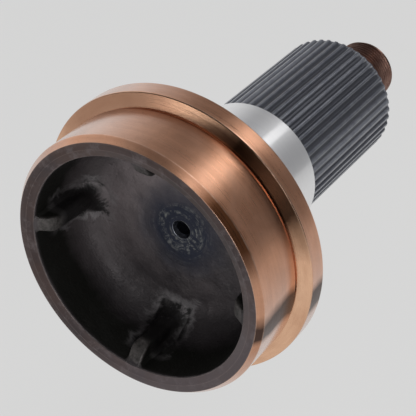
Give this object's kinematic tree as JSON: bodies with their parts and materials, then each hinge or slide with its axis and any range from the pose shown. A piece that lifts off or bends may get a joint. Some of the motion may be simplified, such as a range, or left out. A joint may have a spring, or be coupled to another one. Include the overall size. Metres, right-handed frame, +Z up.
{
  "type": "drive shaft stub shaft",
  "caption": "Drive shaft stub with a ribbed cup for a tube, weld collar, bearing journal, long spline and threaded nose.",
  "frame": {"origin": "on the shaft's axis, at the middle of the tube seat's length", "axes": "+Y along the shaft from the cup's mouth to the threaded nose, +X to the right when facing along +Y, +Z up; the cup's ribs lie on +X, -Z, -X and +Z"},
  "size_m": [0.1042, 0.1606, 0.1042],
  "materials": {
    "cup_steel": "turned steel with a thin copper-coloured film outside, dark forged skin inside",
    "forged_scale": "dark forged skin",
    "ground_steel": "ground bright",
    "spline_steel": "blue-grey heat-treated",
    "nose_steel": "copper-coloured film over a thread"
  },
  "bodies": {
    "root": {"tube_cup": "cup_steel", "cup_rib_right": "forged_scale", "cup_rib_bottom": "forged_scale", "cup_rib_left": "forged_scale", "cup_rib_top": "forged_scale", "weld_collar": "cup_steel", "neck_hub": "forged_scale", "journal_ring": "ground_steel", "spline_shaft": "spline_steel", "nose_stud": "nose_steel"}
  },
  "joints": []
}
